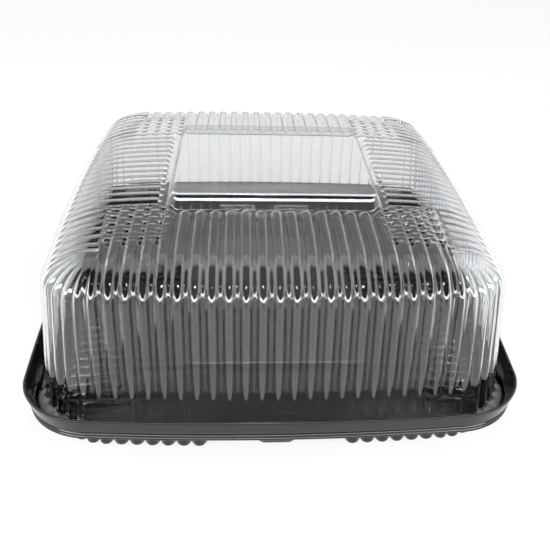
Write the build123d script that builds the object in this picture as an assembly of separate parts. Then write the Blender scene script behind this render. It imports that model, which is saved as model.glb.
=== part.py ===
from build123d import *
import math
import os

# A cake container in two thermoformed sheets: a black tray, and a clear fluted dome that lifts off it.
# Millimetres. X is the width, Y the length, Z up. The origin is under the middle of the tray.

# Flutes: the narrow valleys between the ribs that stiffen both sheets
rib_pitch = 8.5
flute_width = 3.6
flute_depth = 2.1

# Dome lid
lid_sheet = 0.5
dome_width = 259.0
dome_length = 289.0
dome_rise = 90.5
dome_corner = 37.5
dome_draft = 5.0
shoulder_drop = 22.0
top_corner = 2.6
side_bow = 3.6
flange_width = 2.8

# Label panel, raised in the middle of the lid
panel_width = 125.0
panel_length = 125.0
panel_rise = 6.4
panel_lean = 2.5
panel_corner = 7.0
panel_edge = 1.2

# Tray: its well, and the ledge round it that the lid's flange sits on
tray_sheet = 0.6
tray_depth = 18.5
well_inset = 1.4
well_draft = 8.0
well_bend = 7.0
well_fade = 4.2
floor_fade = 13.0
stack_length = 153.0
plain_ribs = 4
bump_drop = 1.1

# Rim of the tray: a narrow trough round the ledge, and a flared lip whose edge is folded back down
trough_width = 1.7
trough_depth = 2.9
lip_rise = 11.5
lip_flare = 3.2
lip_hem = 1.6
bead_height = 2.2
bead_depth = 0.5
rim_shift = 7.0
lug_length = 15.0
lug_height = 4.0
lug_place = 104.0

# Clearances
flange_gap = 0.5
lug_gap = 0.4
stack_gap = 1.0
stack_headroom = 0.3

# Facets of the rounded forms, and how far a cutting form stands clear of the sheet
shoulder_steps = 3
bend_steps = 1
rim_steps = 4
rim_span = 7
box_steps = 3
reach = 2.0

ledge_z = tray_depth
top_z = ledge_z + dome_rise
corner_x = dome_width / 2 - dome_corner
corner_y = dome_length / 2 - dome_corner
rim_x = corner_x + rim_shift
rim_y = corner_y + rim_shift
flange_radius = dome_corner - rim_shift + flange_width


def offset_path(path, distance):
    """Shift a path of (radius, height) to its right, which is outwards on a path that climbs."""
    normals = []
    for (r0, z0), (r1, z1) in zip(path[:-1], path[1:]):
        length = math.hypot(r1 - r0, z1 - z0)
        normals.append(((z1 - z0) / length, -(r1 - r0) / length))
    shifted = []
    for i, (r, z) in enumerate(path):
        before = normals[max(i - 1, 0)]
        after = normals[min(i, len(normals) - 1)]
        mitre = 1 + before[0] * after[0] + before[1] * after[1]
        shifted.append((r + distance * (before[0] + after[0]) / mitre,
                        z + distance * (before[1] + after[1]) / mitre))
    return shifted


def at_height(low, high, z):
    """The point at height z on the line through two points of a path."""
    share = (z - low[1]) / (high[1] - low[1])
    return (low[0] + share * (high[0] - low[0]), z)


def flat_solid(sections, closed=False):
    """A solid of flat faces through matching outlines: capped at both ends, or closed into a ring.
    An outline of a single point is a tip."""
    def flat_face(points):
        return Face(Wire.make_polygon([Vector(*p) for p in points], close=True))

    pairs = list(zip(sections[:-1], sections[1:]))
    if closed:
        pairs.append((sections[-1], sections[0]))
        faces = []
    else:
        faces = [flat_face(end) for end in (sections[0], sections[-1]) if len(end) > 1]
    for low, high in pairs:
        count = max(len(low), len(high))
        for i in range(count):
            j = (i + 1) % count
            corners = [low[i % len(low)], low[j % len(low)], high[j % len(high)], high[i % len(high)]]
            faces.append(flat_face(list(dict.fromkeys(corners))))
    return Solid(Shell(faces))


def valleys(limit):
    """Places of the flutes along half a side, between ribs that are centred on its middle."""
    return [(i + 0.5) * rib_pitch for i in range(int(limit / rib_pitch + 0.5))]


def bow(place, half):
    """How far a gently bowed side stands out at a place, from the line between its corners."""
    return side_bow * (1 - (place / half) ** 2)


def corner_turns(mean_radius):
    """Angles of the flutes round a corner, from one side to the next, at about the rib pitch."""
    left_x = corner_x - valleys(corner_x)[-1]
    left_y = corner_y - valleys(corner_y)[-1]
    whole = left_x + math.pi / 2 * mean_radius + left_y
    spaces = max(round(whole / rib_pitch), 2)
    return [math.degrees((whole * i / spaces - left_x) / mean_radius) for i in range(1, spaces)]


def outline(centre_x, centre_y, places_x, places_y, turns):
    """The points round a bowed rectangle with rounded corners. Each has a kind, its place along the
    side or round the corner, the spot that its radius is counted from, and its way out."""
    quarter = [("end", x, (x, centre_y + bow(x, centre_x)), (0, 1)) for x in places_x]
    for turn in [0] + turns + [90]:
        kind = "corner" if turn in turns else "join"
        out = (math.sin(math.radians(turn)), math.cos(math.radians(turn)))
        quarter.append((kind, turn, (centre_x, centre_y), out))
    quarter += [("side", y, (centre_x + bow(y, centre_y), y), (1, 0)) for y in places_y[::-1]]
    points = []
    for sx, sy, order in ((1, 1, 1), (1, -1, -1), (-1, -1, 1), (-1, 1, -1)):
        points += [(kind, place, (sx * spot[0], sy * spot[1]), (sx * out[0], sy * out[1]))
                   for kind, place, spot, out in quarter[::order]]
    return points


def stack(path, points):
    """A block with the given outline that follows a path of (radius, height)."""
    return flat_solid([[(spot[0] + r * out[0], spot[1] + r * out[1], z) for _, _, spot, out in points]
                       for r, z in path])


def rounded_box(path, half_x, half_y, corner):
    """A block whose straight-sided outline is half_x by half_y at the given corner radius."""
    steps = [90 * i / box_steps for i in range(1, box_steps)]
    points = outline(half_x - corner, half_y - corner, [], [], steps)
    return stack(path, points)


def between(low, high):
    """The direction in plan from one point of an outline to another."""
    step = [high[2][i] + high[3][i] - low[2][i] - low[3][i] for i in (0, 1)]
    length = math.hypot(*step)
    return (step[0] / length, step[1] / length)


def flute(spot, out, left, right, path, start=None, end=None, profile=None):
    """A cutter along a path of (radius, height). Its section is a V, or a profile of (across, outwards)
    points. Where start or end is given, the flute fades out at that point of the surface."""
    spread = flute_width / 2 * (1 + reach / flute_depth)
    profile = profile or [(0, -flute_depth), (spread, reach), (-spread, reach)]
    lines = {level: offset_path(path, level) for _, level in profile}
    sections = []
    for i in range(len(path)):
        section = []
        for across, level in profile:
            way = right if across > 0 else left
            r, z = lines[level][i]
            section.append(tuple(spot[k] + r * out[k] + abs(across) * way[k] for k in (0, 1)) + (z,))
        sections.append(section)
    bed = lines[-flute_depth]

    def lifted(section, low, point):
        """The section moved on, so that the line from the bed comes out of the sheet at the point."""
        ahead, up = [(1 + reach / flute_depth) * (point[k] - low[k]) for k in (0, 1)]
        return [(x + ahead * out[0], y + ahead * out[1], z + up) for x, y, z in section]

    if start:
        sections.insert(0, lifted(sections[0], bed[0], start))
    if end:
        sections.append(lifted(sections[-1], bed[-1], end))
    return flat_solid(sections)


def flutes(points, plan):
    """A cutter at each point of an outline. plan gives its path and where it fades, for the kind of
    point, its place, and how far its spot is from the middle."""
    tools = []
    for i, (kind, place, spot, out) in enumerate(points):
        if kind != "join":
            before = between(points[i], points[i - 1])
            after = between(points[i], points[(i + 1) % len(points)])
            along = abs(spot[1]) if kind == "end" else abs(spot[0])
            tools.append(flute(spot, out, before, after, **plan(kind, place, along)))
    return tools


def dome_path(inset):
    """The dome's side from its foot up to the middle of its flat top, drawn in by inset."""
    wall_rise = dome_rise - shoulder_drop
    wall_top = dome_corner - wall_rise * math.tan(math.radians(dome_draft))
    run = wall_top - top_corner
    path = [(dome_corner, ledge_z)]
    for step in range(shoulder_steps + 1):
        turn = math.pi / 2 * step / shoulder_steps
        path.append((top_corner + run * math.cos(turn), top_z - shoulder_drop * (1 - math.sin(turn))))
    return offset_path(path + [(0, top_z)], -inset)


def pit_places(limit, panel_size, flat):
    """The flutes that pass beside the panel and, with half a rib beyond them, lie on the flat top."""
    return [place for place in valleys(limit)
            if 2 * place + flute_width > panel_size and place + rib_pitch / 2 < flat]


def dome_form(inset):
    """The dome as a full block, fluted all over, with the label panel on top. The sheet is one such
    block less another that is drawn in by its thickness."""
    path = dome_path(inset)
    top = path[-1][1]
    # the outer block ends inside the flange, and the inner one passes through it
    foot_z = ledge_z - reach if inset else ledge_z + lid_sheet / 2
    block = stack([at_height(path[0], path[1], foot_z)] + path[1:-1], dome_points)
    climb = [at_height(path[0], path[1], foot_z - reach)] + path[1:-1]
    pits_x = pit_places(corner_x, panel_width, flat_x)
    pits_y = pit_places(corner_y, panel_length, flat_y)

    def plan(kind, place, along):
        """A flute runs into the panel, or fades on the flat beyond the pits, or on the shoulder."""
        panel_half, pits = (panel_length / 2, pits_y) if kind == "end" else (panel_width / 2, pits_x)
        beside = panel_width / 2 if kind == "end" else panel_length / 2
        flat = flat_x if kind == "end" else flat_y
        if kind == "corner" or place + rib_pitch / 2 >= flat:
            return {"path": climb[:-2], "end": climb[-2]}
        if place + flute_width / 2 <= beside:
            return {"path": climb + [(panel_half - panel_lean - along, top)]}
        return {"path": climb, "end": (pits[-1] + rib_pitch / 2 - along, top)}

    tools = flutes(dome_points, plan)
    # in the four corners of the top the flutes of both directions leave only pits where they cross
    mouth = flute_width / 2 * (1 + reach / flute_depth)
    for x in [sx * x for x in pits_x for sx in (-1, 1)]:
        for y in [sy * y for y in pits_y for sy in (-1, 1)]:
            corners = [(x + i * mouth, y + j * mouth) for i, j in ((1, 1), (-1, 1), (-1, -1), (1, -1))]
            tip = (x, y, top - flute_depth)
            tools.append(flat_solid([[tip], [(i, j, top + reach) for i, j in corners]]))
    return block.cut(*tools) + panel_block(top, inset)


def panel_block(top, inset):
    """The label panel, from below the flutes that run into it up to its flat face."""
    radius = panel_corner - inset
    edge_radius = radius - panel_lean * (1 - panel_edge / panel_rise)
    path = [(radius, top - flute_depth - reach), (radius, top),
            (edge_radius, top + panel_rise - panel_edge),
            (radius - panel_lean - panel_edge, top + panel_rise)]
    return rounded_box(path, panel_width / 2, panel_length / 2, panel_corner)


def make_lid():
    flange = stack([(flange_radius, ledge_z), (flange_radius, ledge_z + lid_sheet)], rim_points)
    return dome_form(0) + flange - dome_form(lid_sheet)


def well_path(inset):
    """The well from the middle of its floor out and up to its mouth, drawn in by inset."""
    draft = math.radians(well_draft)
    mouth = dome_corner - well_inset
    foot = mouth - tray_depth * math.tan(draft)
    centre = foot - well_bend * math.tan((math.pi / 2 - draft) / 2)
    path = [(0, 0)]
    for step in range(bend_steps + 1):
        turn = (math.pi / 2 - draft) * step / bend_steps
        path.append((centre + well_bend * math.sin(turn), well_bend * (1 - math.cos(turn))))
    return offset_path(path + [(mouth, tray_depth)], -inset)


def well_form(inset):
    """The well as a full block with its ribs, and the recess under it that takes another lid's panel."""
    path = well_path(inset)
    floor_z = path[0][1]
    curve = path[1:-1]
    # the outer block ends inside the ledge, and the inner one passes through it
    mouth_z = ledge_z + reach if inset else ledge_z - tray_sheet / 2
    block = stack(curve + [at_height(path[-2], path[-1], mouth_z)], well_points)
    fade = at_height(path[-2], path[-1], path[-1][1] - well_fade)
    recess_x = panel_width / 2 + stack_gap
    recess_y = stack_length / 2

    def plan(kind, place, along):
        """A flute starts at the recess, or fades in on the floor, and fades out up the wall."""
        ahead, beside = (recess_y, recess_x) if kind == "end" else (recess_x, recess_y)
        if kind != "corner" and place + flute_width / 2 <= beside:
            return {"path": [(ahead - panel_lean - along, floor_z)] + curve, "end": fade}
        return {"path": curve, "start": (curve[0][0] - floor_fade, floor_z), "end": fade}

    tools = flutes(well_points, plan)
    # the middle of the front and of the back has no ribs, but for one low bump
    plain_half = valleys(corner_x)[plain_ribs]
    bump = [(rib_pitch + flute_width / 2, -flute_depth), (rib_pitch, -bump_drop)]
    half = [(plain_half, reach), (plain_half, -flute_depth)] + bump
    profile = half + [(-across, level) for across, level in half[::-1]]
    for sy in (-1, 1):
        along = corner_y + bow(plain_half, corner_x)
        path = [(recess_y - panel_lean - along, floor_z)] + curve
        tools.append(flute((0, sy * along), (0, sy), (-1, 0), (1, 0), path, end=fade, profile=profile))
    return block.cut(*tools) - recess_block(inset)


def recess_block(grow):
    """The space of the stacking recess, or with the sheet round it."""
    corner = panel_corner + stack_gap
    ceiling = panel_rise + stack_headroom
    lean = panel_lean * ceiling / panel_rise
    path = [(corner + grow, -reach), (corner + grow, 0), (corner + grow - lean, ceiling + grow)]
    return rounded_box(path, panel_width / 2 + stack_gap, stack_length / 2, corner)


def rim_profile():
    """Section of the ledge, the trough and the folded lip, as (corner radius, height)."""
    slope = lip_flare / lip_rise
    ledge_edge = flange_radius + flange_gap
    lip_foot = ledge_edge + trough_width
    bottom = ledge_z - trough_depth - tray_sheet
    fold_z = bottom + 2 * bead_height
    lip_top = ledge_z + lip_rise
    outer_top = lip_foot + lip_flare + lip_hem
    outer = outer_top - slope * (lip_top - fold_z)
    hidden = ledge_edge - rim_shift - trough_width - well_inset - tray_sheet
    return [(hidden, ledge_z), (ledge_edge, ledge_z), (ledge_edge, ledge_z - trough_depth),
            (lip_foot - slope * trough_depth, ledge_z - trough_depth), (lip_foot + lip_flare, lip_top),
            (outer_top, lip_top), (outer, fold_z), (outer + bead_depth, fold_z - bead_height / 2),
            (outer - bead_depth, fold_z - bead_height), (outer, fold_z - 1.5 * bead_height),
            (outer - 2 * bead_depth, bottom), (ledge_edge - tray_sheet, bottom),
            (ledge_edge - tray_sheet, ledge_z - tray_sheet), (hidden, ledge_z - tray_sheet)]


def make_tray():
    rings = [[(spot[0] + r * out[0], spot[1] + r * out[1], z) for _, _, spot, out in rim_points]
             for r, z in rim_profile()]
    tray = flat_solid(rings, closed=True) + well_form(0)
    # four lugs on the long sides of the lip, clear of the lid's flange
    lug_in = rim_x + flange_radius + lug_gap + bow(lug_place - lug_length / 2, rim_y)
    lug_out = rim_x + flange_radius + flange_gap + trough_width + bow(lug_place, rim_y)
    lug_z = ledge_z + lid_sheet + lug_gap
    section = [(lug_in, lug_z + lug_height / 2), (lug_out, lug_z), (lug_out + lip_hem, lug_z),
               (lug_out + lip_hem, lug_z + lug_height), (lug_out, lug_z + lug_height)]
    for sx in (-1, 1):
        for sy in (-1, 1):
            ends = [sy * (lug_place - lug_length / 2), sy * (lug_place + lug_length / 2)]
            tray += flat_solid([[(sx * x, y, z) for x, z in section] for y in ends])
    return tray - well_form(tray_sheet)


flat_x = corner_x + top_corner
flat_y = corner_y + top_corner
wall_turns = corner_turns((dome_path(0)[0][0] + dome_path(0)[1][0]) / 2)
dome_points = outline(corner_x, corner_y, valleys(corner_x), valleys(corner_y), wall_turns)
well_turns = corner_turns(dome_corner - well_inset)
well_points = outline(corner_x, corner_y, valleys(corner_x)[plain_ribs:], valleys(corner_y), well_turns)
rim_turns = [90 * i / rim_steps for i in range(1, rim_steps)]
rim_places = [valleys(half)[rim_span // 2::rim_span] for half in (rim_x, rim_y)]
rim_points = outline(rim_x, rim_y, *rim_places, rim_turns)

os.makedirs("parts", exist_ok=True)
for node, make in (("base_tray", make_tray), ("dome_lid", make_lid)):
    piece = make()
    piece.label = node
    export_step(piece, f"parts/{node}.step")
    box = piece.bounding_box()
    print(node, "volume", round(piece.volume), "from", box.min, "to", box.max)
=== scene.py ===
# %% [markdown]
# # A cake container in two formed sheets
# The object has two pieces: a black tray and a clear fluted dome that lifts off it. Both start as flat
# plastic sheet, which is warmed and sucked over a mould, so each is one skin of even thickness with
# ribs pressed into it. This lesson builds both skins as meshes, gives them their plastics, and lights
# them so that a clear thing shows against white.
#
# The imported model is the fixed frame. Everything here is placed by it, in metres.

# %% Load the frame
import bpy
import math
import numpy as np
from mathutils import Matrix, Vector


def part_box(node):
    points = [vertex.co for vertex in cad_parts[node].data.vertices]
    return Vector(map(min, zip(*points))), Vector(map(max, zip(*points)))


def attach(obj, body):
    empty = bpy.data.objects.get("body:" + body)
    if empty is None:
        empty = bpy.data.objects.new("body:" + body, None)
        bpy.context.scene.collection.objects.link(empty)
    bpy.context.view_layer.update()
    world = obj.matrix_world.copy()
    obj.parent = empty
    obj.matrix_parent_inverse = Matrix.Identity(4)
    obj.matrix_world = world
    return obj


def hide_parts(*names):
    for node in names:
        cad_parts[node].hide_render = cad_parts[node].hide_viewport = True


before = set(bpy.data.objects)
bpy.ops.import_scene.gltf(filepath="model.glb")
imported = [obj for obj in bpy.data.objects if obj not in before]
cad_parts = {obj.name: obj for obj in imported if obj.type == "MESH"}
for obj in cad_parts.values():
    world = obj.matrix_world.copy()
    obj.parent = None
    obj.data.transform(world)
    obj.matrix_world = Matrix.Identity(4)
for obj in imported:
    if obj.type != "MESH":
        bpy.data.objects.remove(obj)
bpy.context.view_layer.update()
tray_low, tray_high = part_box("base_tray")
lid_low, lid_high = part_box("dome_lid")
MM = 0.001
print("tray", tray_low, tray_high)
print("lid", lid_low, lid_high)

# %% [markdown]
# ## The sizes
# A few sizes drive both sheets. Heights and half widths come from the frame, so that the meshes stay
# with the model. The rest is the pitch of the ribs, the corner radii and the shape of the sections.
# The work is done in millimetres and turned to metres when a mesh is made.

# %% Sizes in millimetres
# BOW is how far the sides stand out at their middle. PANEL_HALF and RECESS_HALF are half the sides of
# the lid's panel and of the tray's raised middle.
LEDGE = lid_low[2] / MM
PANEL_TOP = lid_high[2] / MM
PANEL_RISE = 6.4
TOP = PANEL_TOP - PANEL_RISE
PITCH = 8.5
FLUTE = 2.1
LID_SHEET = 0.5
TRAY_SHEET = 0.6
BOW = 3.6
PANEL_HALF = (62.5, 62.5)
RECESS_HALF = (63.5, 76.5)
print("top of the ribs", round(TOP, 2), "ledge", round(LEDGE, 2))

# %% Corners and the parts of the rim
# CORNER and RIM are the centres of the rounded corners. Every radius is counted from them.
CORNER = (92.0, 107.0)
DOME_CORNER = 37.5
RIM_SHIFT = 7.0
FLANGE_WIDTH = 2.8
FLANGE_GAP = 0.5
TROUGH_WIDTH = 1.7
LIP_FLARE = 3.2
HEM = 1.6
FLANGE_RADIUS = DOME_CORNER - RIM_SHIFT + FLANGE_WIDTH
LEDGE_EDGE = FLANGE_RADIUS + FLANGE_GAP
LIP_FOOT = LEDGE_EDGE + TROUGH_WIDTH
RIM_EDGE = LIP_FOOT + LIP_FLARE + HEM
RIM = (tray_high[0] / MM - RIM_EDGE - BOW, tray_high[1] / MM - RIM_EDGE - BOW)


def valleys(limit):
    """Places of the flutes along half a side."""
    return [(i + 0.5) * PITCH for i in range(int(limit / PITCH + 0.5))]


def bow(place, half):
    """How far a bowed side stands out at a place along it."""
    return BOW * (1 - (place / half) ** 2)


print("corner centres of the rim", [round(half, 2) for half in RIM])
print("flutes across an end", 2 * len(valleys(CORNER[0])), "and along a side", 2 * len(valleys(CORNER[1])))

# %% [markdown]
# ## The ribs
# A rib could be modelled once and repeated, but here the ribs bend over a shoulder, fan round corners
# and fade out. It is simpler to think of a smooth sheet and of a wave that pushes it in. On the lid the
# crests are broad and nearly flat, the flanks are steep, and the valleys are narrow, because the sheet
# stretches over the ribs of the mould and barely reaches into its grooves. Down the shoulder and the
# walls a low ridge is added, so that the valleys get deeper there. The tray's ribs are rounder.


# %% The waves that press the flutes
# Edges of the flat crest and of the valley, as shares of the pitch counted from the crest.
CREST_EDGE = 0.17
VALLEY_EDGE = 0.43
RIDGE_POWER = 1.3
ROUND_POWER = 2.4


def ease(low, high, value):
    """Goes smoothly from 0 at low to 1 at high."""
    t = np.clip((value - low) / (high - low), 0, 1)
    return t * t * (3 - 2 * t)


def off_crest(phase):
    """0 on the crest of a rib, and 0.5 at the bottom of a valley, where the phase is a whole number."""
    return np.abs(np.mod(phase, 1.0) - 0.5)


def flat_rib(phase):
    """The lid's wave, with flat crests: 0 on the crest and 1 in the valley."""
    return ease(CREST_EDGE, VALLEY_EDGE, off_crest(phase))


def ridge(phase):
    """A low ridge along each crest of the lid's walls and shoulder: 0 on the crest and 1 in the valley."""
    return (2 * off_crest(phase)) ** RIDGE_POWER


def round_rib(phase):
    """The tray's wave, whose valleys end in a sharp notch."""
    return (2 * off_crest(phase)) ** ROUND_POWER


def side_phase(place, limit):
    """The phase along a side. It keeps its pitch up to the last valley and then follows the corner."""
    place = np.abs(place)
    last = valleys(limit)[-1]
    return np.where(place <= last, place / PITCH - 0.5, (place - last) / CORNER_STEP)


# %% Flutes round a corner
# They share the run round the corner evenly. It is measured at a radius about halfway up the wall.
MEAN_RADIUS = DOME_CORNER - 2.8
LEFT = [half - valleys(half)[-1] for half in CORNER]
CORNER_RUN = LEFT[0] + math.pi / 2 * MEAN_RADIUS + LEFT[1]
CORNER_SPACES = round(CORNER_RUN / PITCH)
CORNER_STEP = CORNER_RUN / CORNER_SPACES
print("flutes round a corner", CORNER_SPACES - 1, "spaced", round(CORNER_STEP, 2), "mm")

# %% [markdown]
# ## The loop round a sheet
# Each skin is a loop of columns that climbs from the rim to the top. The columns crowd together in the
# valleys, where the sheet bends most. A column knows the spot that its radius is counted from, its way
# out, and how strong the wave is there, so that any section can be swept round the corners and the
# bowed sides.


# %% Places of the columns along the sides
# OFFSETS are the columns in one pitch, as shares of it counted from the valley. The other lists are
# extra columns at the edges of the panel, of the tray's raised middle and of the flat top. The two
# spaces keep columns from lying on top of each other.
OFFSETS = (0, 0.07, 0.13, 0.2, 0.27, 0.33, 0.5, 0.67, 0.73, 0.8, 0.87, 0.93)
PANEL_EDGE = [58.0, 58.6, 59.2, 59.7, 60.1, 60.5, 60.9, 61.4, 62.0, 62.5, 62.9, 63.3, 63.5,
              64.9, 65.5, 66.1, 66.7, 67.3, 68.0, 68.7, 69.4]
RECESS_EDGE = [74.0, 74.5, 75.0, 75.6, 76.1, 76.5, 77.3]
FLAT_EDGE_X = [90.4, 91.1]
FLAT_EDGE_Y = [106.4, 106.6, 106.8]
SPACE_AT_END = 0.1
SPACE_AT_EXTRA = 0.12


def half_places(limit, extra):
    """Places of the columns along half a side, from its middle to where the corner starts."""
    last = valleys(limit)[-1]
    places = [(i + 0.5 + u - 1) * PITCH for i in range(len(valleys(limit)) + 1) for u in OFFSETS]
    places = [p for p in places if 0 <= p < last] + [last + u * CORNER_STEP for u in OFFSETS]
    places = sorted([p for p in places if p < limit - SPACE_AT_END] + [limit])
    for p in extra:
        places = [q for q in places if abs(p - q) > SPACE_AT_EXTRA or q == limit] + [p]
    return np.array(sorted(places))


HALF_X = half_places(CORNER[0], PANEL_EDGE + FLAT_EDGE_X)
HALF_Y = half_places(CORNER[1], PANEL_EDGE + RECESS_EDGE + FLAT_EDGE_Y)
PLACES_X = np.concatenate([-HALF_X[:0:-1], HALF_X])
PLACES_Y = np.concatenate([-HALF_Y[:0:-1], HALF_Y])
runs = np.array([(k + u) * CORNER_STEP for k in range(CORNER_SPACES) for u in OFFSETS])
arc = math.pi / 2 * MEAN_RADIUS
ANGLES = np.array([(s - LEFT[0]) / MEAN_RADIUS for s in runs
                   if LEFT[0] + SPACE_AT_END < s < LEFT[0] + arc - SPACE_AT_END])
print("columns along an end", len(PLACES_X), "a side", len(PLACES_Y), "and a corner", len(ANGLES))


# %% Columns round the outline
def loop_columns():
    """Rows of (kind, place or angle, sign x, sign y) round the outline, from the back towards +X. The
    kind is "x" for the ends, "y" for the long sides and "c" for the corners."""
    columns = [("x", x, 1, 1) for x in PLACES_X]
    columns += [("c", a, 1, 1) for a in ANGLES]
    columns += [("y", y, 1, 1) for y in PLACES_Y[::-1]]
    columns += [("c", a, 1, -1) for a in ANGLES[::-1]]
    columns += [("x", x, 1, -1) for x in PLACES_X[::-1]]
    columns += [("c", a, -1, -1) for a in ANGLES]
    columns += [("y", y, -1, 1) for y in PLACES_Y]
    columns += [("c", a, -1, 1) for a in ANGLES[::-1]]
    return columns


COLUMNS = loop_columns()


def loop_base(centre):
    """The spot and the way out of each column, for corners centred at the given half sizes."""
    spots = []
    outs = []
    for kind, at, sx, sy in COLUMNS:
        if kind == "x":
            x = at * centre[0] / CORNER[0]
            spots.append((x, sy * (centre[1] + bow(x, centre[0]))))
            outs.append((0, sy))
        elif kind == "y":
            y = at * centre[1] / CORNER[1]
            spots.append((sx * (centre[0] + bow(y, centre[1])), y))
            outs.append((sx, 0))
        else:
            spots.append((sx * centre[0], sy * centre[1]))
            outs.append((sx * math.sin(at), sy * math.cos(at)))
    return np.array(spots), np.array(outs)


DOME_SPOT, DOME_OUT = loop_base(CORNER)
RIM_SPOT, RIM_OUT = loop_base(RIM)
LOOP_PHASE = np.array([
    (at * MEAN_RADIUS + LEFT[0]) / CORNER_STEP if kind == "c" else
    side_phase(at, CORNER[0] if kind == "x" else CORNER[1]) for kind, at, sx, sy in COLUMNS])
print("columns round the outline", len(COLUMNS))


# %% From points and faces to a closed sheet
SHARP_ANGLE = math.radians(60)


def closed_sheet(name, points, quads, triangles, thickness):
    """A mesh of even thickness. The points are its first skin, and the second lies behind it."""
    points = np.array(points)
    normals = np.zeros_like(points)
    for faces in (quads, triangles):
        corners = points[faces]
        turned = np.cross(corners[:, 1] - corners[:, 0], corners[:, 2] - corners[:, 0])
        if faces.shape[1] == 4:
            turned = np.cross(corners[:, 2] - corners[:, 0], corners[:, 3] - corners[:, 1])
        for k in range(faces.shape[1]):
            np.add.at(normals, faces[:, k], turned)
    normals /= np.linalg.norm(normals, axis=1)[:, None]
    edges = np.concatenate([faces[:, [k, (k + 1) % faces.shape[1]]]
                            for faces in (quads, triangles) for k in range(faces.shape[1])])
    key, index, count = np.unique(np.sort(edges, axis=1), axis=0, return_index=True, return_counts=True)
    border = edges[index[count == 1]]
    shift = len(points)
    everything = np.concatenate([points, points - normals * thickness]) * MM
    faces = quads.tolist() + triangles.tolist()
    faces += (quads[:, ::-1] + shift).tolist() + (triangles[:, ::-1] + shift).tolist()
    faces += [[b, a, a + shift, b + shift] for a, b in border.tolist()]
    mesh = bpy.data.meshes.new(name)
    mesh.from_pydata(everything.tolist(), [], faces)
    mesh.update()
    mesh.shade_smooth()
    mesh.set_sharp_from_angle(angle=SHARP_ANGLE)
    piece = bpy.data.objects.new(name, mesh)
    bpy.context.scene.collection.objects.link(piece)
    print(name, "points", len(everything), "faces", len(faces))
    return piece


def loop_faces(rows):
    """Quads between rows of the loop, which closes on itself."""
    count = len(COLUMNS)
    low = np.arange(rows - 1)[:, None] * count
    here = np.arange(count)[None, :]
    there = (here + 1) % count
    return np.stack([low + here, low + count + here, low + count + there, low + there], -1).reshape(-1, 4)


def cap_faces(first_loop, first_grid):
    """Quads and triangles that close the loop's last row with a grid of the same columns."""
    nx = len(PLACES_X)
    ny = len(PLACES_Y)
    grid = first_grid + np.arange(nx)[:, None] * ny + np.arange(ny)[None, :]
    inner = np.stack([grid[:-1, :-1], grid[1:, :-1], grid[1:, 1:], grid[:-1, 1:]], -1).reshape(-1, 4)
    edge = []
    for kind, at, sx, sy in COLUMNS:
        i = np.searchsorted(PLACES_X, at) if kind == "x" else (nx - 1 if sx > 0 else 0)
        j = np.searchsorted(PLACES_Y, at) if kind == "y" else (ny - 1 if sy > 0 else 0)
        edge.append(grid[i, j])
    edge = np.array(edge)
    count = len(COLUMNS)
    here = np.arange(count)
    there = (here + 1) % count
    same = edge[here] == edge[there]
    quads = np.stack([first_loop + here, edge[here], edge[there], first_loop + there], -1)[~same]
    fans = np.stack([first_loop + here, edge[here], first_loop + there], -1)[same]
    return np.concatenate([inner, quads]), fans


# %% [markdown]
# ## The dome
# The real dome is thin clear sheet with fluted walls that lean in, a round shoulder and a nearly flat
# top. It could be drawn as a box with bevels and a displacement, but then the flutes would smear where
# they turn. Here a section is swept round the outline, with the wave pushed square to it. The shoulder
# is a quarter of an ellipse. On the top the flutes of the ends and of the sides meet. Where ribs cross,
# the higher one wins, so that only a small pit is left where two valleys cross, with a faint trace of
# the valleys between the pits. The panel rises out of the flutes with a sloped wall, and the ribs end
# in round tips before it.


# %% Where the flutes lie on the flat top
# PIT_START is the crest beside the panel where the pits begin. OPEN is the stretch past the last pit in
# which the ribs of one direction take over.
PIT_START = 59.5
LAST_VALLEY = [valleys(half)[-1] for half in CORNER]
LAST_PIT = (LAST_VALLEY[0], LAST_VALLEY[1] - PITCH)
OPEN = [(last + 2.0, last + 5.0) for last in LAST_PIT]
print("pits from", PIT_START, "to", LAST_PIT)


def field_wave(x, y, wave_x, wave_y, pits, open_x, open_y, inner):
    """The wave on a flat field. Beside the inner panel only the ribs that point at it are left, and so
    are those of one direction beyond open_x and open_y. Elsewhere both directions leave pits."""
    only_y = np.where(np.abs(y) < inner[1], 1.0, ease(open_x[0], open_x[1], np.abs(x)))
    only_x = np.where(np.abs(x) < inner[0], 1.0, ease(open_y[0], open_y[1], np.abs(y)))
    crossed = pits * (1 - only_x) * (1 - only_y)
    return crossed + (wave_x * only_x * (1 - only_y) + wave_y * only_y * (1 - only_x))


def box_inside(x, y, half, corner):
    """How far a point lies inside a box with rounded corners. Outside it the number is negative."""
    dx = np.abs(x) - (half[0] - corner)
    dy = np.abs(y) - (half[1] - corner)
    outside = np.hypot(np.maximum(dx, 0), np.maximum(dy, 0))
    return corner - outside - np.minimum(np.maximum(dx, dy), 0)


def raised_panel(inside, run, rise, edge):
    """A panel whose sloped wall starts below the flutes and whose top edge is rounded."""
    line = np.maximum(inside / run * rise, -3 * FLUTE)
    share = np.clip(0.5 + 0.5 * (rise - line) / edge, 0, 1)
    return rise * (1 - share) + line * share - edge * share * (1 - share)


# %% Section of the dome
# Each row has a radius, a height, the two parts of the way that the flutes are pushed, and how far the
# shoulder has turned from the wall to the top.
SHOULDER_DROP = 22.0
TOP_CORNER = 2.6
DRAFT = math.radians(5)
FOOT_ROUND = 1.0
LAST_RADII = (1.7, 0.8)

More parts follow.
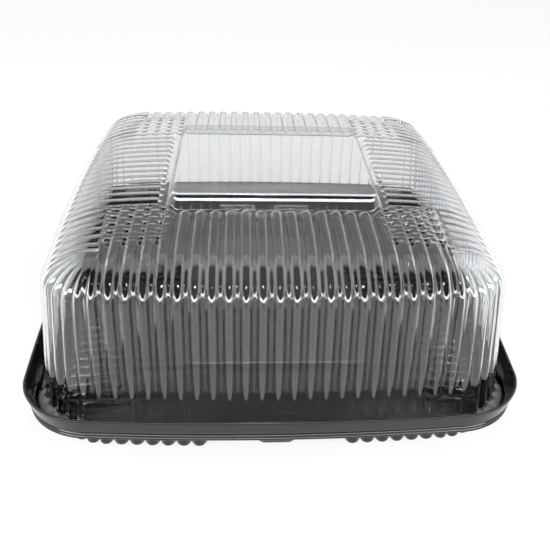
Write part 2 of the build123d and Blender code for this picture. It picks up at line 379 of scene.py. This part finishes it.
foot_z = LEDGE + LID_SHEET
wall_top = TOP - SHOULDER_DROP
wall_radius = DOME_CORNER - (wall_top - LEDGE) * math.tan(DRAFT)
section = []
for turn in np.linspace(0, math.pi / 2, 4):
    section.append((DOME_CORNER + FOOT_ROUND * (1 - math.sin(turn)),
                    foot_z + FOOT_ROUND * (1 - math.cos(turn)), 1.0, 0.0, 0.0))
for z in np.linspace(foot_z + FOOT_ROUND + 2, wall_top, 9)[:-1]:
    section.append((DOME_CORNER - (z - LEDGE) * math.tan(DRAFT), z, 1.0, 0.0, 0.0))
run = wall_radius - TOP_CORNER
for turn in np.linspace(0, math.pi / 2, 25):
    across = math.cos(turn) / run
    up = math.sin(turn) / SHOULDER_DROP
    size = math.hypot(across, up)
    section.append((TOP_CORNER + run * math.cos(turn), wall_top + SHOULDER_DROP * math.sin(turn),
                    across / size, up / size, turn))
section += [(radius, TOP, 0.0, 1.0, math.pi / 2) for radius in LAST_RADII]
print("rows of the dome's section", len(section), "wall top", round(wall_top, 2))

# %% How strong the flutes are on the way up
# Fades along the shoulder are in degrees from the wall to the top, and depths in millimetres.
# CORNER_START is the angle, in radians, over which the flutes soften as they enter a corner.
SHOULDER_FLUTE = 1.25
TOP_FADE = (60, 85)
RIDGE = 1.8
RIDGE_FADE = (12, 46)
CREST_ROUND = 0.4
CREST_FADE = (55, 80)
CORNER_FADE = (25, 66)
CORNER_SOFT = 0.4
CORNER_START = 0.35


def flute_depth(turn):
    """How deep the sheet is pushed in at each column. The ridge makes the valleys deeper from the
    shoulder down, and that is what draws the highlights as hooks."""
    flat = SHOULDER_FLUTE + (FLUTE - SHOULDER_FLUTE) * ease(*TOP_FADE, turn)
    sharp = RIDGE * (1 - ease(*RIDGE_FADE, turn)) + CREST_ROUND * (1 - ease(*CREST_FADE, turn))
    return flat * flat_rib(LOOP_PHASE) + sharp * ridge(LOOP_PHASE)


def loop_strength(radius, turn):
    """How strong the flutes are in each column at a radius. They are softer round the corners and fade
    on the shoulder there, and on the top they fade before the pits."""
    strength = []
    for kind, at, sx, sy in COLUMNS:
        half, ahead, panel = (0, 1, PANEL_HALF[0]) if kind == "x" else (1, 0, PANEL_HALF[1])
        if kind == "c" or abs(at) > LAST_VALLEY[half] + PITCH / 2:
            around = ease(0, CORNER_START, min(at, math.pi / 2 - at)) if kind == "c" else 0.0
            strength.append((1 - CORNER_SOFT * around) * (1 - ease(*CORNER_FADE, turn)))
        elif abs(at) < panel:
            strength.append(1.0)
        else:
            strength.append(ease(*OPEN[ahead], CORNER[ahead] + radius))
    return np.array(strength)


# %% Walls and shoulder of the dome
FLANGE_STEP = 0.8
rows = []
for radius in (FLANGE_RADIUS, FLANGE_RADIUS - FLANGE_STEP):
    plan = RIM_SPOT + radius * RIM_OUT
    rows.append(np.column_stack([plan, np.full(len(COLUMNS), foot_z)]))
for radius, z, across, up, turn in section:
    push = flute_depth(math.degrees(turn)) * loop_strength(radius, math.degrees(turn))
    plan = DOME_SPOT + (radius - push * across)[:, None] * DOME_OUT
    rows.append(np.column_stack([plan, z - push * up]))
print("deepest valley", round(float(flute_depth(0).max()), 2), "mm")

# %% The flat top with its pits and panel
# Edges of the pits are shares of the pitch counted from the crest, as the waves are. PIT_TRACE is how
# much of a valley is left between the pits, and CROSS_TRACE how much of that the crosswise valleys get.
# MOAT is where the ribs end before the panel, and MOAT_FADE takes it out at the panel's corners.
PIT_EDGE_X = (0.26, 0.42)
PIT_EDGE_Y = (0.24, 0.42)
PIT_TRACE = 0.35
CROSS_TRACE = 0.35
PANEL_RUN = 2.5
PANEL_CORNER = 7.0
PANEL_SOFT = 4.2
MOAT = (-5.0, -3.4)
TIP_CURVE = 12.0
TIP_END = 0.4
MOAT_FADE = (57.0, 61.0)

gx, gy = np.meshgrid(PLACES_X, PLACES_Y, indexing="ij")
phase_x = side_phase(gx, CORNER[0])
phase_y = side_phase(gy, CORNER[1])
deep = np.minimum(ease(*PIT_EDGE_X, off_crest(phase_x)), ease(*PIT_EDGE_Y, off_crest(phase_y)))
trace = np.maximum(flat_rib(phase_x), CROSS_TRACE * flat_rib(phase_y))
pits = PIT_TRACE * trace + (1 - PIT_TRACE) * deep
pressed = field_wave(gx, gy, flat_rib(phase_x), flat_rib(phase_y), pits, OPEN[0], OPEN[1],
                     (PIT_START, PIT_START))
# the middle of each rib reaches furthest towards the panel, which makes its tip round
inside = box_inside(gx, gy, PANEL_HALF, PANEL_CORNER)
tip = np.where(np.abs(gy) > PANEL_HALF[1], off_crest(phase_x), off_crest(phase_y))
moat = ease(*MOAT, inside + TIP_CURVE * np.minimum(tip, TIP_END) ** 2)
moat *= 1 - ease(*MOAT_FADE, np.minimum(np.abs(gx), np.abs(gy)))
panel = raised_panel(inside, PANEL_RUN, PANEL_RISE, PANEL_SOFT)
top = np.maximum(panel, -FLUTE * np.maximum(pressed, moat))
print("points on the flat top", gx.size, "from", round(float(top.min()), 2), "to", round(float(top.max()), 2))


def bowed_grid(z):
    """The points of the flat grid. Its outermost spaces widen to reach the bowed sides."""
    wide_x = bow(gy, CORNER[1]) * np.clip((np.abs(gx) - LAST_VALLEY[0]) / LEFT[0], 0, 1) * np.sign(gx)
    wide_y = bow(gx, CORNER[0]) * np.clip((np.abs(gy) - LAST_VALLEY[1]) / LEFT[1], 0, 1) * np.sign(gy)
    return np.column_stack([(gx + wide_x).ravel(), (gy + wide_y).ravel(), z.ravel()])


# %% The dome's sheet
CROWN = 2.2
CROWN_LIMIT = 1.8


def crowned(points):
    """The top sinks a little towards its edges, as formed sheet does when it cools."""
    x, y, z = points.T
    spread = (np.abs(x) / (CORNER[0] + TOP_CORNER)) ** 4 + (np.abs(y) / (CORNER[1] + TOP_CORNER)) ** 4
    return np.stack([x, y, z - CROWN * np.clip(spread, 0, CROWN_LIMIT) * ease(wall_top, TOP, z)], -1)


lid_points = crowned(np.concatenate(rows + [bowed_grid(TOP + top)]))
lid_cap, lid_fans = cap_faces((len(rows) - 1) * len(COLUMNS), len(rows) * len(COLUMNS))
lid_quads = np.concatenate([loop_faces(len(rows)), lid_cap])
lid = closed_sheet("clear_dome", lid_points, lid_quads, lid_fans, LID_SHEET)

# %% [markdown]
# ## The tray
# The tray is the same kind of skin, in black. Its section runs from the floor, round the bend, up the
# wall of the well, over the ledge, down into the narrow trough, up the flared lip, over its edge and
# down again as a folded hem with two beads. The ribs are pressed up from below, so that their rounded
# ends stand under the rim as a row of small feet. Four small lugs on the long sides of the lip stand
# just outside the lid's flange, above it, and guide the lid as it is pushed in. All of it could be one
# swept curve, but the well follows the dome's corners and the rim its own, so there are two sections.

# %% Section of the well
# Each row has a radius, a height and the two parts of the way that the ribs are pushed.
WELL_MOUTH = DOME_CORNER - 1.4
WELL_DRAFT = math.radians(8)
BEND = 4.2
FIRST_RADIUS = 6.0

floor_z = TRAY_SHEET
well_foot = WELL_MOUTH - LEDGE * math.tan(WELL_DRAFT)
bend_centre = well_foot - BEND * math.tan((math.pi / 2 - WELL_DRAFT) / 2)
inner_bend = BEND - TRAY_SHEET
tray_section = [(r, floor_z, 0.0, 1.0) for r in np.linspace(FIRST_RADIUS, bend_centre, 8)[:-1]]
for turn in np.linspace(0, math.pi / 2 - WELL_DRAFT, 8):
    tray_section.append((bend_centre + inner_bend * math.sin(turn), BEND - inner_bend * math.cos(turn),
                         -math.sin(turn), math.cos(turn)))
last_r, last_z = tray_section[-1][:2]
for z in np.linspace(last_z, LEDGE - 0.8, 8)[1:]:
    tray_section.append((last_r + (z - last_z) * math.tan(WELL_DRAFT), z, -1.0, 0.0))
tray_section.append((tray_section[-1][0] + 0.3, LEDGE - 0.2, -1.0, 0.0))
tray_section.append((tray_section[-1][0] + 0.6, LEDGE, -1.0, 0.0))
print("rows of the well", len(tray_section), "bend starts at radius", round(bend_centre, 2))

# %% Section of the rim
# The lip's inner face stands upright at its foot and leans out above it. That slope is what lets the
# far lip mirror the soft boxes towards a viewer in front.
TROUGH_DEPTH = 2.9
LIP_RISE = tray_high[2] / MM - LEDGE
FACE_SLOPE = math.tan(math.radians(25.3))
FACE_TOP = 1.2
HEM_ROUND = 0.8
BEAD = 2.2
BEAD_OUT = 0.5
BEAD_SINK = 0.6

slope = LIP_FLARE / LIP_RISE
lip_top = LEDGE + LIP_RISE
lip_mouth = LIP_FOOT + slope * (LIP_RISE - FACE_TOP)
trough_z = LEDGE - TROUGH_DEPTH
trough_end = LIP_FOOT - slope * TROUGH_DEPTH
hem_z = trough_z - TRAY_SHEET + 2 * BEAD
outer = RIM_EDGE - slope * (lip_top - hem_z)
rim_section = [(LEDGE_EDGE - 0.5, LEDGE), (LEDGE_EDGE - 0.1, LEDGE - 0.15), (LEDGE_EDGE, LEDGE - 0.6),
               (LEDGE_EDGE + 0.05, trough_z + 0.4), (LEDGE_EDGE + 0.3, trough_z + 0.05),
               (trough_end - 0.3, trough_z + 0.05), (trough_end, trough_z + 0.4)]
for z in np.linspace(LEDGE - 1.5, lip_top - FACE_TOP, 12):
    below = lip_top - FACE_TOP - z
    rim_section.append((max(lip_mouth - FACE_SLOPE * below, trough_end), z))
fold = (RIM_EDGE - HEM / 2 - slope * HEM_ROUND, lip_top - HEM_ROUND)
for turn in np.linspace(0, math.pi, 9):
    rim_section.append((fold[0] - HEM / 2 * math.cos(turn), fold[1] + HEM_ROUND * math.sin(turn)))
for z in np.linspace(lip_top - 2 * HEM_ROUND, hem_z + 0.5, 6):
    rim_section.append((RIM_EDGE - slope * (lip_top - z), z))
for step in np.linspace(0, 2, 17):
    bulge = (1 + BEAD_SINK) * math.sin(math.pi * (step % 1)) - BEAD_SINK if step < 2 else -BEAD_SINK
    rim_section.append((outer + BEAD_OUT * bulge - 0.3 * step, hem_z - BEAD * step))
print("rows of the rim", len(rim_section), "lip top", round(lip_top, 2))

# %% Ribs of the tray
# Edges are given in pitches. The plain middle ends in a valley and the raised middle's ribs end on a
# crest, so that no rib is cut through.
TRAY_FLUTE = 2.1
PLAIN_HALF = 4.5 * PITCH
BUMP_EDGE = (0.8 * PITCH, 1.25 * PITCH)
BUMP_DROP = 0.5
TRAY_OPEN_X = (10.6 * PITCH, 11.2 * PITCH)
TRAY_OPEN_Y = (14.6 * PITCH, 15.2 * PITCH)
TRAY_INNER = (7 * PITCH, 9 * PITCH)


def tray_wave_x(x):
    """Across the ends the middle is plain but for a low bump, and the ribs start beside it."""
    plain = 1 - BUMP_DROP * (1 - ease(*BUMP_EDGE, np.abs(x)))
    return np.where(np.abs(x) < PLAIN_HALF, plain, round_rib(side_phase(x, CORNER[0])))


def floor_wave(x, y):
    """The ribs of the floor, which cross in its corners."""
    wave_x = tray_wave_x(x)
    wave_y = round_rib(side_phase(y, CORNER[1]))
    crossed = np.minimum(wave_x, wave_y)
    return field_wave(x, y, wave_x, wave_y, crossed, TRAY_OPEN_X, TRAY_OPEN_Y, TRAY_INNER)


tray_loop_wave = np.array([tray_wave_x(at) if kind == "x" else round_rib(LOOP_PHASE[i])
                           for i, (kind, at, sx, sy) in enumerate(COLUMNS)])
print("rib depth on the floor", TRAY_FLUTE, "mm")

# %% Floor and wall of the well
# The ribs are deepest at the bend, where they stand under the rim as feet, and fade up the wall. Along
# the radii of FLOOR_FADE the floor's ribs hand over to those of the loop.
FLOOR_FADE = (14, 26)
FOOT_EXTRA = 1.0
FOOT_HEIGHT = 3.0
WALL_FADE = (LEDGE - 9.5, LEDGE - 4.0)

tray_rows = []
for radius, z, across, up in tray_section:
    plan = DOME_SPOT + radius * DOME_OUT
    on_floor = 1 - ease(*FLOOR_FADE, radius)
    strength = on_floor * floor_wave(plan[:, 0], plan[:, 1]) + (1 - on_floor) * tray_loop_wave
    foot = (1 - on_floor) * math.exp(-((z - FOOT_HEIGHT) / FOOT_HEIGHT) ** 2)
    push = TRAY_FLUTE * strength * (1 + FOOT_EXTRA * foot) * (1 - ease(*WALL_FADE, z))
    plan = DOME_SPOT + (radius + push * across)[:, None] * DOME_OUT
    tray_rows.append(np.column_stack([plan, z + push * up]))
print("rib depth at the bend", round(TRAY_FLUTE * (1 + FOOT_EXTRA), 2), "mm")

# %% Rim and lugs
LUG_PLACE = 104.0
LUG_HALF = 7.5
LUG_SIDE = 1.2
LUG_HEIGHT = 4.0
LUG_MIDDLE = LEDGE + LID_SHEET + 2.4
LUG_TIP = FLANGE_RADIUS + 0.45

lug_share = np.array([
    1 - ease(LUG_HALF - LUG_SIDE, LUG_HALF, abs(abs(at) * RIM[1] / CORNER[1] - LUG_PLACE))
    if kind == "y" else 0.0 for kind, at, sx, sy in COLUMNS])
for radius, z in rim_section:
    on_face = radius < lip_mouth and abs(z - LUG_MIDDLE) < LUG_HEIGHT / 2
    reach_in = (radius - LUG_TIP) * (1 - 2 * abs(z - LUG_MIDDLE) / LUG_HEIGHT) if on_face else 0.0
    plan = RIM_SPOT + (radius - reach_in * lug_share)[:, None] * RIM_OUT
    tray_rows.append(np.column_stack([plan, np.full(len(COLUMNS), z)]))
print("columns that carry a lug", int((lug_share > 0).sum()))

# %% The tray's sheet
RECESS_CORNER = 8.0
RECESS_RUN = 2.6
RECESS_RISE = 6.7
RECESS_SOFT = 1.6

raised = raised_panel(box_inside(gx, gy, RECESS_HALF, RECESS_CORNER), RECESS_RUN, RECESS_RISE, RECESS_SOFT)
ribs = TRAY_FLUTE * floor_wave(gx, gy)
tray_points = np.concatenate(tray_rows[::-1] + [bowed_grid(floor_z + np.maximum(raised, ribs))])
tray_cap, tray_fans = cap_faces((len(tray_rows) - 1) * len(COLUMNS), len(tray_rows) * len(COLUMNS))
tray_quads = np.concatenate([loop_faces(len(tray_rows)), tray_cap])
tray = closed_sheet("black_tray", tray_points, tray_quads, tray_fans, TRAY_SHEET)

# %% [markdown]
# ## The plastics
# Both sheets are PET. What the eye gets from it is gloss: its refractive index is about 1.57, so each
# face of the sheet mirrors about 5% of the surroundings, and a black sheet under a clear one looks
# grey because of that. Formed sheet is never quite flat. That could be pressed into the meshes, but it
# is far lower than their faces are wide. So a very low, slow bump gives the wavy highlights, and the
# colour stays plain.


# %% Helpers for materials
def linear(hex_colour):
    """An sRGB hex colour as linear red, green, blue and alpha."""
    channels = [int(hex_colour[i:i + 2], 16) / 255 for i in (1, 3, 5)]
    return tuple(c / 12.92 if c <= 0.04045 else ((c + 0.055) / 1.055) ** 2.4 for c in channels) + (1.0,)


def add_node(tree, kind, inputs=(), links=(), **settings):
    """Adds a node with its settings, its input values and links from other nodes' sockets. A socket is
    given by its name, or by its number on nodes that have several of one name."""
    node = tree.nodes.new(kind)
    for key, value in settings.items():
        setattr(node, key, value)
    for key, value in dict(inputs).items():
        node.inputs[key].default_value = value
    for key, socket in dict(links).items():
        tree.links.new(socket, node.inputs[key])
    return node


def new_material(name):
    """An empty material and its node tree."""
    material = bpy.data.materials.new(name)
    material.use_nodes = True
    material.node_tree.nodes.clear()
    return material, material.node_tree


# %% Clear PET, thermoformed
# Clear sheet drawn over a polished mould keeps its gloss on both faces, so the highlights stay crisp.
# It lets the eye through, and a wave about every 36 mm (28 in a metre) bends what is seen a little.
clear_pet, tree = new_material("clear_pet_thermoformed")
where = add_node(tree, "ShaderNodeTexCoord")
slow = add_node(tree, "ShaderNodeTexNoise", {"Scale": 28.0, "Detail": 1.0},
                {"Vector": where.outputs["Object"]})
ripple = add_node(tree, "ShaderNodeBump", {"Strength": 0.12, "Distance": 0.0004},
                  {"Height": slow.outputs["Fac"]})
clear = add_node(tree, "ShaderNodeBsdfPrincipled",
                 {"Base Color": linear("#fbfcfd"), "Roughness": 0.015, "IOR": 1.57,
                  "Transmission Weight": 1.0},
                 {"Normal": ripple.outputs["Normal"]})
add_node(tree, "ShaderNodeOutputMaterial", (), {"Surface": clear.outputs["BSDF"]})
print(clear_pet.name, len(tree.nodes), "nodes")

# %% Black PET, thermoformed
# Sheet coloured through with black is formed the same way, but its face is duller than the clear one's.
# The eye gets soft highlights on near black, and the lower specular level keeps the rim dark beside a
# white floor. The waves are about 17 mm long (60 in a metre).
black_pet, tree = new_material("black_pet_thermoformed")
where = add_node(tree, "ShaderNodeTexCoord")
slow = add_node(tree, "ShaderNodeTexNoise", {"Scale": 60.0, "Detail": 2.0},
                {"Vector": where.outputs["Object"]})
ripple = add_node(tree, "ShaderNodeBump", {"Strength": 0.15, "Distance": 0.0003},
                  {"Height": slow.outputs["Fac"]})
black = add_node(tree, "ShaderNodeBsdfPrincipled",
                 {"Base Color": linear("#101010"), "Roughness": 0.16, "IOR": 1.57,
                  "Specular IOR Level": 0.35},
                 {"Normal": ripple.outputs["Normal"]})
add_node(tree, "ShaderNodeOutputMaterial", (), {"Surface": black.outputs["BSDF"]})
print(black_pet.name, len(tree.nodes), "nodes")

# %% Plastics and bodies
lid.data.materials.append(clear_pet)
tray.data.materials.append(black_pet)
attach(lid, "lid")
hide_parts("dome_lid")
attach(tray, "base")
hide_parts("base_tray")
for piece in (lid, tray):
    print(piece.name, "is", piece.data.materials[0].name)

# %% [markdown]
# ## The stage
# The object stands on a white floor, as such things do in a shop's photos. Strong lamps could make the
# floor white, but they would wash out the plastics too. So for rays that come from the camera, or that
# are mirrored or let through by the plastics, the floor shows mostly as plain white, and the rest is a
# matt floor that still takes the soft shadow.

# %% Floor
REACH = 4.0
FLOOR_DROP = 0.0002
PLAIN_SHARE = 0.75
floor_mesh = bpy.data.meshes.new("floor")
floor_corners = [(-REACH, -REACH, 0), (REACH, -REACH, 0), (REACH, REACH, 0), (-REACH, REACH, 0)]
floor_mesh.from_pydata(floor_corners, [], [(0, 1, 2, 3)])
floor = bpy.data.objects.new("floor", floor_mesh)
bpy.context.scene.collection.objects.link(floor)
floor.location.z = -FLOOR_DROP

white_floor, tree = new_material("white_floor")
path = add_node(tree, "ShaderNodeLightPath")
mirrored = add_node(tree, "ShaderNodeMath", (),
                    {0: path.outputs["Is Glossy Ray"], 1: path.outputs["Is Transmission Ray"]},
                    operation="MAXIMUM")
seen = add_node(tree, "ShaderNodeMath", (), {0: path.outputs["Is Camera Ray"], 1: mirrored.outputs[0]},
                operation="MAXIMUM")
share = add_node(tree, "ShaderNodeMath", {1: PLAIN_SHARE}, {0: seen.outputs[0]}, operation="MULTIPLY")
matt = add_node(tree, "ShaderNodeBsdfDiffuse", {"Color": linear("#f2f2f2")})
plain = add_node(tree, "ShaderNodeEmission", {"Color": (1, 1, 1, 1), "Strength": 1.0})
mixed = add_node(tree, "ShaderNodeMixShader", (),
                 {0: share.outputs[0], 1: matt.outputs["BSDF"], 2: plain.outputs["Emission"]})
add_node(tree, "ShaderNodeOutputMaterial", (), {"Surface": mixed.outputs["Shader"]})
floor_mesh.materials.append(white_floor)
print("floor", 2 * REACH, "m wide, plain white share", PLAIN_SHARE)

# %% [markdown]
# ## The studio round the object
# A clear thing is drawn by what it mirrors, so the world is a simple studio. Turned about the object
# from the front horizon over the top to the back horizon, it has a pale wall in front, a dark stretch
# up to the top and past it, a bright soft strip high behind, and a pale backdrop. The sides are
# bright. It could be built from cards, but a ramp over one angle is easier to move. The camera sees
# plain white, straight on and through the clear sheet.

# %% World
# STUDIO has pairs of an angle in degrees from the front horizon and a strength. STUDIO_TOP scales the
# strengths, so that the ramp's colours stay within 1. The sides fade in where the part of a ray's way
# that points along X passes from SIDE_START to SIDE_FULL.
STUDIO = ((0, 0.75), (20, 0.5), (25, 0.05), (106, 0.05),
          (112, 1.25), (131, 1.25), (138, 0.58), (180, 0.58))
STUDIO_TOP = 2.0
STUDIO_SIDE = 1.7
SIDE_START = 0.52
SIDE_FULL = 0.70
world = bpy.data.worlds.new("studio")
bpy.context.scene.world = world
world.use_nodes = True
tree = world.node_tree
tree.nodes.clear()
where = add_node(tree, "ShaderNodeTexCoord")
ways = add_node(tree, "ShaderNodeSeparateXYZ", (), {0: where.outputs["Generated"]})
back = add_node(tree, "ShaderNodeMath", {1: -1.0}, {0: ways.outputs["Y"]}, operation="MULTIPLY")
turn = add_node(tree, "ShaderNodeMath", (), {0: ways.outputs["Z"], 1: back.outputs[0]}, operation="ARCTAN2")
share = add_node(tree, "ShaderNodeMath", {1: math.pi}, {0: turn.outputs[0]}, operation="DIVIDE")
ramp = add_node(tree, "ShaderNodeValToRGB", (), {0: share.outputs[0]})
stops = ramp.color_ramp.elements
while len(stops) < len(STUDIO):
    stops.new(0.5)
for stop, (angle, level) in zip(stops, STUDIO):
    stop.position = angle / 180
    stop.color = (level / STUDIO_TOP,) * 3 + (1,)
level = add_node(tree, "ShaderNodeMath", {1: STUDIO_TOP}, {0: ramp.outputs[0]}, operation="MULTIPLY")
across = add_node(tree, "ShaderNodeMath", (), {0: ways.outputs["X"]}, operation="ABSOLUTE")
side = add_node(tree, "ShaderNodeMapRange",
                {"From Min": SIDE_START, "From Max": SIDE_FULL, "To Min": 0.0, "To Max": 1.0},
                {"Value": across.outputs[0]}, interpolation_type="SMOOTHSTEP")
wall = add_node(tree, "ShaderNodeMix", {3: STUDIO_SIDE}, {0: side.outputs[0], 2: level.outputs[0]})

# plain white for the camera, and for rays that have only passed through sheet and mirrored nowhere
path = add_node(tree, "ShaderNodeLightPath")
unmirrored = add_node(tree, "ShaderNodeMath", {1: 0.5}, {0: path.outputs["Glossy Depth"]},
                      operation="LESS_THAN")
through = add_node(tree, "ShaderNodeMath", (),
                   {0: path.outputs["Is Transmission Ray"], 1: unmirrored.outputs[0]}, operation="MULTIPLY")
seen = add_node(tree, "ShaderNodeMath", (), {0: path.outputs["Is Camera Ray"], 1: through.outputs[0]},
                operation="MAXIMUM")
lit = add_node(tree, "ShaderNodeMix", {3: 1.0}, {0: seen.outputs[0], 2: wall.outputs[0]})
backdrop = add_node(tree, "ShaderNodeBackground", {"Color": (1, 1, 1, 1)}, {"Strength": lit.outputs[0]})
add_node(tree, "ShaderNodeOutputWorld", (), {"Surface": backdrop.outputs["Background"]})
print("studio", len(STUDIO), "stops, sides", STUDIO_SIDE)

# %% [markdown]
# ## Light and camera
# A ring of four wide and low soft boxes in front puts the row of bright hooks on the shoulder, where
# each rib turns from the wall to the top. One straight box would be simpler, but its ends lie lower as
# seen from the object, and the row would sag. A small bulb high above gives each rib its dot.

# %% Soft boxes and bulb
# Sizes and distances are in metres, angles in degrees. SHOULDER is the spot that the lamps face.
SHOULDER = (0.0, -0.13, 0.095)
SOFTBOX_SIZE = (0.78, 0.32)
SOFTBOX_RADIANCE = 12.0
SOFTBOX_DISTANCE = 1.5
SOFTBOX_HEIGHT = 29.5
SOFTBOX_SPACING = 32.0
BULB_SIZE = (0.12, 0.12)
BULB_RADIANCE = 60.0
BULB_DISTANCE = 1.3
BULB_HEIGHT = 80.0


def area_light(name, size, radiance, distance, azimuth, height):
    """A rectangular lamp that faces the shoulder, at a distance and at two angles from the front. A
    lamp's power is its radiance times pi times its area."""
    light = bpy.data.lights.new(name, "AREA")
    light.shape = "RECTANGLE"
    light.size, light.size_y = size
    light.energy = radiance * math.pi * size[0] * size[1]
    lamp = bpy.data.objects.new(name, light)
    bpy.context.scene.collection.objects.link(lamp)
    turned = Matrix.Rotation(math.radians(azimuth), 4, "Z")
    turned = turned @ Matrix.Rotation(math.radians(90 - height), 4, "X")
    lamp.matrix_world = Matrix.Translation(SHOULDER) @ turned @ Matrix.Translation((0, 0, distance))
    place = [round(v, 2) for v in lamp.matrix_world.translation]
    print(name, "power", round(light.energy, 2), "at", place)


for step in (-1.5, -0.5, 0.5, 1.5):
    area_light("front_softbox", SOFTBOX_SIZE, SOFTBOX_RADIANCE, SOFTBOX_DISTANCE,
               SOFTBOX_SPACING * step, SOFTBOX_HEIGHT)
area_light("bulb", BULB_SIZE, BULB_RADIANCE, BULB_DISTANCE, 0.0, BULB_HEIGHT)

# %% Camera
# Focal length and middle are in pixels of the photo's frame. They and the angles come from a fit of the
# lid's pits and flutes to those in the photo. The shift puts the middle of the view at MIDDLE, which
# lies beside the frame's centre.
PIXELS = 550
FOCAL = 744.7
MIDDLE = 305.8
PITCH_DOWN = math.radians(30.18)
YAW = math.radians(5.50)
ROLL = math.radians(2.79)
EYE = (-0.01814, -0.45133, 0.29049)
camera = bpy.data.cameras.new("camera")
camera.sensor_width = 36.0
camera.lens = FOCAL / PIXELS * camera.sensor_width
camera.shift_x = (PIXELS / 2 - MIDDLE) / PIXELS
camera_object = bpy.data.objects.new("camera", camera)
bpy.context.scene.collection.objects.link(camera_object)
turned = (Matrix.Rotation(-YAW, 4, "Z") @ Matrix.Rotation(math.pi / 2 - PITCH_DOWN, 4, "X")
          @ Matrix.Rotation(ROLL, 4, "Z"))
camera_object.matrix_world = Matrix.Translation(EYE) @ turned
bpy.context.scene.camera = camera_object
bpy.context.scene.view_settings.view_transform = "Standard"
print("lens", round(camera.lens, 2), "mm, shift", round(camera.shift_x, 4))

# %% Finish
print("scene ready")
